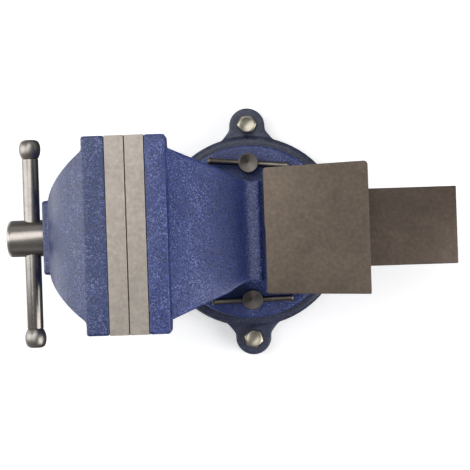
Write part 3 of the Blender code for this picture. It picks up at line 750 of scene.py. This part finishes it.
def moving_head():
    """The front of the moving jaw: a wide block on a body that tapers to the screw boss."""
    margin = 0.006
    flare = bend((-0.2097, 0.0450), (-0.1950, 0.0672), (BLOCK_FRONT, HALF_MOVING_FLARE), 12)
    plan = [(CASTING_FRONT - margin, 0.0350), (CASTING_FRONT, 0.0370)] + flare
    plan += [(BLOCK_FRONT, HALF_JAW), (MOVING_APRON + margin, HALF_JAW)]
    nose = bend((BLOCK_FRONT, JAW_TOP - 0.0012), (-0.1990, 0.2120), (-0.2085, 0.1700), 10)
    nose += bend((-0.2088, 0.1680), (-0.2118, 0.1610), (CASTING_FRONT, 0.1530), 5)
    side = [(MOVING_SEAT, JAW_TOP), (BLOCK_FRONT + 0.0012, JAW_TOP)] + nose
    side += [(CASTING_FRONT, JAW_LOW.z + 0.006), (CASTING_FRONT + 0.006, JAW_LOW.z)]
    side += [(MOVING_APRON, JAW_LOW.z), (MOVING_APRON, PLATE_LEDGE), (MOVING_SEAT, PLATE_LEDGE)]
    edge, low_edge = HALF_JAW + 0.003, 0.050
    front = [(edge, JAW_TOP + margin), (edge, 0.182)]
    front += bend((edge, 0.182), (0.066, 0.155), (low_edge, 0.112), 10)[1:]
    front += [(low_edge, JAW_LOW.z - margin)]
    head = prism(mirrored(plan), "XY", JAW_LOW.z - margin, JAW_TOP + margin)
    side_tool = prism(side, "XZ", -HALF_JAW - margin, HALF_JAW + margin)
    front_tool = prism(upright(front), "YZ", CASTING_FRONT - margin, MOVING_APRON + margin)
    return common(head, side_tool, front_tool)


def make_moving_jaw():
    """The moving jaw: its head and boss as a casting, and its planed slide as a second piece."""
    boss_front = JAW_LOW.x
    boss = block((boss_front, -HALF_BOSS, JAW_LOW.z), (-0.205, HALF_BOSS, BOSS_TOP))
    jaw = cast(together(moving_head(), bevelled(boss, 0.0022, 3)))
    half_hollow, hollow_top = HOLLOW
    half_slide, slide_low, slide_high = SLIDE
    low = JAW_LOW.z - 0.005
    skim = 0.0001
    slide_room_low = (-0.190, -half_slide - skim, slide_low - skim)
    slide_room_high = (0.0, half_slide + skim, slide_high + skim)
    tools = [
        block((-0.15, -0.15, JAW_TOP - 0.0001), (0.0, 0.15, 0.3)),
        block((-0.3, -0.15, 0.0), (0.0, 0.15, JAW_LOW.z + 0.0001)),
        block((MOVING_APRON - 0.0003, -0.15, 0.0), (0.0, 0.15, PLATE_LEDGE)),
        block((MOVING_SEAT - 0.0001, -0.15, PLATE_LEDGE), (0.0, 0.15, 0.3)),
        block((FRONT_WALL_INNER, -half_hollow, low), (0.22, half_hollow, hollow_top)),
        block((FRONT_WALL_INNER, -HALF_CORE, low), (HEAD_CORE[0], HALF_CORE, HEAD_CORE[1])),
        block(slide_room_low, slide_room_high),
        rod(SHAFT_BORE, (-0.21, 0, SCREW_Z), 0.040, "X"),
    ]
    for sign in SIDES.values():
        hole = (MOVING_SEAT - 0.004, sign * PLATE_SCREW[0], PLATE_SCREW[1])
        tools.append(rod(BOLT_HOLE, hole, 0.024, "X", 32))
    jaw = cut(jaw, *tools)
    paint_faces(jaw, 1, lambda c, n: (n[:, 0] > 0.99) & (c[:, 0] > MOVING_SEAT - 0.001))
    show(jaw, "jaw_casting", "carriage", "blue_enamel", ["shaded_jaw_enamel", "bare_iron"], "moving_jaw")
    slide = block((-0.1899, -half_slide, slide_low), (JAW_HIGH.x, half_slide, slide_high))
    slide = cut(slide, block((-0.2, -half_hollow, 0.05), (0.3, half_hollow, hollow_top)))
    slide = cut(slide, block((-0.2, -HALF_CORE, 0.05), (HEAD_CORE[0], HALF_CORE, HEAD_CORE[1])))
    slide = bevelled(slide, 0.0009, 3)
    show(slide, "jaw_slide", "carriage", "machined_iron", ["slide_iron"])


# Jaw plates


def knurled_plate(low, high, face_side):
    """A plate whose grip face carries crossed grooves, inside a plain margin with a chamfered rim."""
    step, margin, depth, pitch, rim_drop = 0.001, 0.0025, 0.00045, 0.004, 0.0005
    across = int(round((high.y - low.y) / step))
    up = int(round((high.z - low.z) / step))
    form = bmesh.new()
    bmesh.ops.create_grid(form, x_segments=across, y_segments=up, size=0.5)
    face_x = high.x if face_side > 0 else low.x
    for vert in form.verts:
        y = low.y + (vert.co.x + 0.5) * (high.y - low.y)
        z = low.z + (vert.co.y + 0.5) * (high.z - low.z)
        inner = min(y - low.y, high.y - y, z - low.z, high.z - z) - margin
        waves = [abs(((y + s * z) / pitch) % 1.0 - 0.5) * 2.0 for s in (1, -1)]
        groove = max(0.0, 1.0 - 2.4 * min(1.0 - w for w in waves)) if inner > 0 else 0.0
        sunk = rim_drop if inner < 0.0005 - margin else depth * groove
        vert.co = Vector((face_x - face_side * sunk, y, z))
    rim = [edge for edge in form.edges if edge.is_boundary]
    back_x = low.x if face_side > 0 else high.x
    grown = bmesh.ops.extrude_edge_only(form, edges=rim)["geom"]
    for vert in (item for item in grown if isinstance(item, bmesh.types.BMVert)):
        vert.co.x = back_x
    bmesh.ops.holes_fill(form, edges=[edge for edge in form.edges if edge.is_boundary], sides=0)
    bmesh.ops.recalc_face_normals(form, faces=form.faces)
    mesh = bpy.data.meshes.new("plate")
    form.to_mesh(mesh)
    form.free()
    return object_of(mesh)


def make_plates():
    """Both jaw plates, each counterbored for its two screws, and the screws."""
    jaws = {
        "moving": (MOVING_PLATE, 1, "carriage"),
        "fixed": (FIXED_PLATE, -1, "body"),
    }
    for jaw, ((low, high), face_side, body) in jaws.items():
        plate = knurled_plate(low, high, face_side)
        face = high.x if face_side > 0 else low.x
        tools = []
        for side, sign in SIDES.items():
            spot = Vector((face, sign * PLATE_SCREW[0], PLATE_SCREW[1]))
            tools.append(rod(0.0090, spot, 0.022, "X", 64))
            tools.append(rod(BOLT_HOLE, spot - Vector((face_side * 0.014, 0, 0)), 0.014, "X", 48))
            make_plate_screw(jaw, side, spot, face_side, body)
        plate = cut(plate, *tools)
        show(plate, jaw + "_plate", body, "ground_steel", ["plate_steel"], jaw + "_jaw_plate", sharp=25.0)


def make_plate_screw(jaw, side, spot, face_side, body):
    """A sunk socket screw whose head lies just below the plate's face."""
    top, head, radius, length = -0.001, 0.008, 0.005, 0.0195
    edge = arc((head - 0.0008, top - 0.0008), 0.0008, 90, 0, 4)
    profile = [(0.0, top), *edge, (head, -0.0105), (radius, -0.0105), (radius, -length - 0.0002)]
    profile += [(radius - 0.0008, -length - 0.001), (0.0, -length - 0.001)]
    screw = turned(profile, (0, 0, 0), "Z", 64)
    socket = rod(0.0046, (0, 0, top), 0.009, "Z", 6)
    screw = cut(screw, socket)
    turn = Matrix.Rotation(face_side * math.pi / 2, 4, "Y")
    screw.data.transform(Matrix.Translation(spot) @ turn)
    name = jaw + "_plate_screw_" + side
    show(screw, jaw + "_socket_screw_" + side, body, "black_steel", ["black_steel"], name)


# Screw, nut and handle


def thread(start, end, major, minor, lead, sides=40, per_turn=14):
    """A closed trapezoidal thread along +X from x = start to x = end, tapered at both ends."""
    rows = int((end - start) / lead * per_turn)
    form = bmesh.new()
    rings = []
    for row in range(rows + 1):
        x = start + (end - start) * row / rows
        ease = min(1.0, (x - start) / lead, (end - x) / lead)
        ring = []
        for side in range(sides):
            angle = 2 * math.pi * side / sides
            phase = ((x - start) / lead - side / sides) % 1.0
            crest = min(1.0, max(0.0, (abs(phase - 0.5) - 0.15) / 0.14))
            radius = minor + (major - minor) * crest * max(0.0, ease)
            ring.append(form.verts.new((x, radius * math.cos(angle), radius * math.sin(angle))))
        rings.append(ring)
    for first, second in zip(rings, rings[1:]):
        for side in range(sides):
            after = (side + 1) % sides
            form.faces.new((first[side], first[after], second[after], second[side]))
    form.faces.new(list(reversed(rings[0])))
    form.faces.new(rings[-1])
    bmesh.ops.recalc_face_normals(form, faces=form.faces)
    mesh = bpy.data.meshes.new("thread")
    form.to_mesh(mesh)
    form.free()
    solid = object_of(mesh)
    solid.data.transform(Matrix.Translation((0, 0, SCREW_Z)))
    return solid


def make_screw():
    """The clamp screw: round head with the bar's hole, plain shank, thread, and the pin's hole."""
    low, high = SCREW_BOX
    radius, shank = (high.y - low.y) / 2, 0.014
    head_back = JAW_LOW.x - GAP
    length = head_back - low.x
    nose = arc((radius - 0.0048, length - 0.0048), 0.0048, 90, 0, 10)
    back = arc((radius - 0.001, 0.001), 0.001, 0, -90, 4)
    head = turned([(0.0, length), *nose, *back, (0.0, 0.0)], (0, 0, 0), "Z")
    head.data.transform(Matrix.Translation((head_back, 0, SCREW_Z)) @ Matrix.Rotation(-math.pi / 2, 4, "Y"))
    bar_low, bar_high = BAR_BOX
    bar_x, bar_radius = (bar_low.x + bar_high.x) / 2, (bar_high.x - bar_low.x) / 2
    plain_end, core, lead = -0.164, 0.0116, 0.005
    smooth = rod(shank, ((head_back + plain_end) / 2, 0, SCREW_Z), plain_end - head_back + 0.004, "X")
    spiral = thread(plain_end - 0.006, high.x, shank, core, lead)
    screw = joined(head, smooth, spiral)
    pin_x = (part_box("retaining_pin")[0].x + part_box("retaining_pin")[1].x) / 2
    hole = rod(bar_radius + 0.0004, (bar_x, 0, SCREW_Z), 0.060, "Y", 64)
    screw = cut(screw, hole, rod(0.0023, (pin_x, 0, SCREW_Z), 0.040, "Z", 32))
    own_axis(screw, (0, 0, SCREW_Z))
    show(screw, "clamp_screw", "screw", "turned_steel", ["screw_steel"], "main_screw", sharp=40.0)


def knob(name, side, sign):
    """A barrel-shaped handle knob that swells out of the bar's own width."""
    low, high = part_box("bar_knob_" + side)
    half, radius = (high.y - low.y) / 2, (high.x - low.x) / 2
    middle = (low + high) / 2
    barrel = [math.radians(degrees) for degrees in range(80, -46, -7)]
    profile = [(0.0, half)] + [(radius * math.cos(a) ** 0.40, half * math.sin(a)) for a in barrel]
    neck = 0.0086
    profile += bend(profile[-1], (neck + 0.0008, -half + 0.0012), (neck, -half + 0.0003), 5)[1:]
    profile += [(neck - 0.0003, -half), (0.0, -half)]
    solid = turned(profile, (0, 0, 0), "Z", 64)
    turn = Matrix.Rotation(-sign * math.pi / 2, 4, "X")
    solid.data.transform(Matrix.Translation(middle) @ turn)
    bore = rod(0.0053, middle - Vector((0, sign * 0.0062, 0)), 0.0205, "Y", 48)
    solid = cut(solid, bore)
    own_axis(solid, middle)
    show(solid, name, "handle", "turned_steel", ["knob_steel"], "bar_knob_" + side)


def make_handle():
    """The sliding bar, stepped down at both ends, and the knob on each."""
    low, high = BAR_BOX
    middle = (low + high) / 2
    radius = (high.x - low.x) / 2
    half = (high.y - low.y) / 2
    knob_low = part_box("bar_knob_left")[0].y
    shoulder = knob_low - GAP - middle.y
    edge = arc((radius - 0.0003, shoulder - 0.0003), 0.0003, 90, 0, 3)
    profile = [(0.0, half), (0.0046, half), (0.005, half - 0.0004), (0.005, shoulder), *edge]
    bar = turned(mirrored(profile), middle, "Y", 64)
    own_axis(bar, middle)
    show(bar, "handle_bar", "handle", "turned_steel", ["bar_steel"], "tommy_bar")
    knob("knob_left", "left", 1)
    knob("knob_right", "right", -1)


def make_nut():
    """The iron nut, countersunk at both ends, and the two bolts that hold it from below."""
    low, high = NUT_BOX
    nut = bevelled(block(low, high), 0.0012, 3)
    tools = [rod(0.0145, ((low.x + high.x) / 2, 0, SCREW_Z), 0.080, "X", 64)]
    for x in (low.x, high.x):
        tools.append(rod(0.0165, (x, 0, SCREW_Z), 0.003, "X", 64))
    for x in NUT_BOLT_X:
        tools.append(rod(BOLT_HOLE, (x, 0, 0.090), 0.017, "Z", 32))
    show(cut(nut, *tools), "iron_nut", "body", "machined_iron", ["bare_iron"], "main_nut")
    for name in ("front", "rear"):
        low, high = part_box("nut_bolt_" + name)
        x = (low.x + high.x) / 2
        head = hex_head(0.017, 0.0065, (0, 0, 0), 30.0)
        head.data.transform(Matrix.Translation((x, 0, low.z + 0.0065)) @ Matrix.Rotation(math.pi, 4, "X"))
        root = low.z + 0.004
        shank = [(0.0, high.z), (0.0042, high.z), (0.005, high.z - 0.0008), (0.005, root), (0.0, root)]
        bolt = joined(head, turned(shank, (x, 0, 0), "Z", 32))
        bolt = bevelled(bolt, 0.0002, 2, 40)
        show(bolt, "nut_hex_bolt_" + name, "body", "black_steel", ["black_steel"], "nut_bolt_" + name)


def make_retainer():
    """Two washers, the coil spring between them and the pin that holds them on the screw."""
    for name in ("front", "rear"):
        low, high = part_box(name + "_spring_washer")
        middle, thick = (low + high) / 2, high.x - low.x
        half = thick / 2
        profile = mirrored([(0.0, half), (0.0197, half), (0.0200, half - 0.0003)])
        ring = cut(turned(profile, middle, "X", 64), rod(SHAFT_BORE, middle, 4 * thick, "X", 64))
        show(ring, name + "_washer", "carriage", "plated_steel", ["plated_steel"], name + "_spring_washer")
    low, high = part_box("screw_spring")
    wire, coil_radius, turns, per_turn = 0.0012, 0.0168, 4, 36
    curve = bpy.data.curves.new("coil", "CURVE")
    curve.dimensions = "3D"
    curve.bevel_depth = wire
    curve.bevel_resolution = 5
    curve.use_fill_caps = True
    spline = curve.splines.new("POLY")
    count = turns * per_turn + 1
    spline.points.add(count - 1)
    for index, point in enumerate(spline.points):
        angle = 2 * math.pi * index / per_turn
        along = low.x + wire + (high.x - low.x - 2 * wire) * index / (count - 1)
        point.co = (along, coil_radius * math.cos(angle), SCREW_Z + coil_radius * math.sin(angle), 1.0)
    coil = baked(object_of(curve))
    show(coil, "coil_spring", "carriage", "black_steel", ["black_steel"], "screw_spring")
    low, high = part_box("retaining_pin")
    middle, half = (low + high) / 2, (high.z - low.z) / 2
    profile = mirrored([(0.0, half), (0.0014, half), (0.002, half - 0.0008)])
    pin = turned(profile, middle, "Z", 32)
    show(pin, "roll_pin", "screw", "black_steel", ["black_steel"], "retaining_pin")


# Swivel locks


def make_locks():
    """Each swivel lock: round-headed bolt, cross bar through its head, and square nut in the T-slot."""
    for side in SIDES:
        low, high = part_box("lock_bolt_" + side)
        middle = (low + high) / 2
        radius, head_low, top = (high.x - low.x) / 2, FOOT_TOP + GAP, high.z
        rim = arc((radius - 0.0009, top - 0.0009), 0.0009, 90, 0, 5)
        profile = [(0.0, top - 0.0006), (0.0012, top - 0.0005), (radius - 0.0016, top - 0.0001), *rim]
        profile += [(radius, head_low + 0.0006), (radius - 0.0006, head_low), (0.006, head_low)]
        profile += [(0.006, low.z + 0.001), (0.005, low.z), (0.0, low.z)]
        bolt = turned(profile, (middle.x, middle.y, 0), "Z")
        bar_low, bar_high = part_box("lock_bar_" + side)
        bar_middle = (bar_low + bar_high) / 2
        angle = math.radians(LOCK_BAR_TURN[side])
        hole = rod(0.0038, (0, 0, 0), 0.040, "X", 48)
        hole.data.transform(Matrix.Translation(bar_middle) @ Matrix.Rotation(angle, 4, "Z"))
        bolt = cut(bolt, hole)
        own_axis(bolt, (middle.x, middle.y, top))
        name, steel = "swivel_lock_" + side, ["bolt_steel"]
        show(bolt, name, "lock_" + side, "turned_steel", steel, "lock_bolt_" + side)
        half, thin, swell = 0.045, 0.0035, 0.0043
        end = [(0.0, half), (0.0030, half), (swell - 0.0006, half - 0.0006), (swell, half - 0.0018)]
        end += [(swell, half - 0.0032), (thin, half - 0.0052)]
        bar = turned(mirrored(end), (0, 0, 0), "X", 40, Euler((0.0, math.pi / 2, angle)))
        bar.data.transform(Matrix.Translation(bar_middle))
        own_axis(bar, bar_middle, angle)
        name, steel = "lock_rod_" + side, ["rod_steel"]
        show(bar, name, "lock_handle_" + side, "turned_steel", steel, "lock_bar_" + side)
        low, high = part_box("lock_nut_" + side)
        nut = bevelled(block(low, high), 0.0008, 2)
        nut = cut(nut, rod(0.0063, (middle.x, middle.y, (low.z + high.z) / 2), 0.020, "Z", 48))
        show(nut, "slot_nut_" + side, "body", "machined_iron", ["bare_iron"], "lock_nut_" + side)


# Studio


def area_light(name, place, target, size, power):
    """A soft white panel that faces its target."""
    data = bpy.data.lights.new(name, "AREA")
    data.shape = "RECTANGLE"
    data.size, data.size_y = size
    data.energy = power
    lamp = object_of(data, name)
    lamp.location = place
    aim = Vector(target) - Vector(place)
    lamp.rotation_euler = aim.to_track_quat("-Z", "Y").to_euler()


def make_sky():
    """Bright part way up and low down on the -X side, dim overhead, and brighter towards +Y."""
    world = bpy.data.worlds.new("studio")
    world.use_nodes = True
    tree = world.node_tree
    direction = tree.nodes.new("ShaderNodeTexCoord").outputs["Generated"]
    parts = node(tree, "ShaderNodeSeparateXYZ", Vector=direction).outputs
    height, aside, west = [
        math_node(tree, "ADD", math_node(tree, "MULTIPLY", parts[axis], share), 0.5)
        for axis, share in (("Z", 0.5), ("Y", 0.5), ("X", -0.5))
    ]
    rise = [(0.45, 0.10), (0.56, 0.32), (0.66, 0.52), (0.76, 0.30), (0.89, 0.22), (0.97, 0.32)]
    glow = ramp(tree, height, rise)
    lean = ramp(tree, aside, [(0.0, 0.75), (0.5, 0.95), (1.0, 1.15)])
    low = ramp(tree, height, [(0.10, 1.5), (0.28, 0.75), (0.42, 0.15), (0.60, 0.0)])
    low_west = blended(tree, 1.0, low, ramp(tree, west, [(0.56, 0.0), (0.72, 1.0)]), "MULTIPLY")
    sky = blended(tree, 1.0, blended(tree, 1.0, glow, lean, "MULTIPLY"), low_west, "ADD")
    tree.links.new(sky, tree.nodes["Background"].inputs["Color"])
    tree.nodes["Background"].inputs["Strength"].default_value = 1.0
    bpy.context.scene.world = world


def make_studio():
    """A white light-table floor, so that shadows on it stay faint, and three soft panels.

    The floor reaches past every view's edge and glows more further out, where no panel lights it.
    """
    reach = 9.0
    floor = block((-reach, -reach, -0.02), (reach, reach, 0.0))
    floor.name = "floor"
    tree, shader, place = new_material("pale_floor")
    tint = ramp(tree, noise(tree, place, 3.0), [(0.3, 0.93), (0.7, 0.95)])
    tree.links.new(tint, shader.inputs["Base Color"])
    shader.inputs["Roughness"].default_value = 0.9
    shader.inputs["Emission Color"].default_value = (1.0, 1.0, 1.0, 1.0)
    distance = node(tree, "ShaderNodeVectorMath", Vector=place)
    distance.operation = "LENGTH"
    fifths = math_node(tree, "MULTIPLY", distance.outputs["Value"], 0.2)
    tree.links.new(ramp(tree, fifths, [(0.16, 0.35), (0.60, 0.66)]), shader.inputs["Emission Strength"])
    floor.data.materials.append(MATERIALS["pale_floor"])
    floor.visible_glossy = False
    make_sky()
    bpy.context.scene.view_settings.view_transform = "Standard"
    area_light("left_panel", (-1.7, 0.2, 0.55), (-0.05, 0, 0.1), (0.9, 2.0), 16.0)
    area_light("right_panel", (1.3, -0.5, 1.0), (0.0, 0, 0.1), (1.2, 1.5), 19.0)
    area_light("top_panel", (-0.60, 0.65, 2.2), (0, 0, 0.1), (2.4, 1.3), 25.0)


def make_camera():
    """Straight down from 1.9 m above the bench, turned a little about the vertical."""
    data = bpy.data.cameras.new("camera")
    data.lens = 127.6
    data.sensor_width = 36.0
    data.clip_start, data.clip_end = 0.05, 20.0
    camera = object_of(data, "camera")
    camera.location = (-0.0173, -0.0035, 1.9)
    camera.rotation_euler = (0.0, 0.0, math.radians(-1.9))
    bpy.context.scene.camera = camera


make_base()
make_base_bolts()
make_body()
make_moving_jaw()
make_plates()
make_screw()
make_handle()
make_nut()
make_retainer()
make_locks()
make_studio()
make_camera()
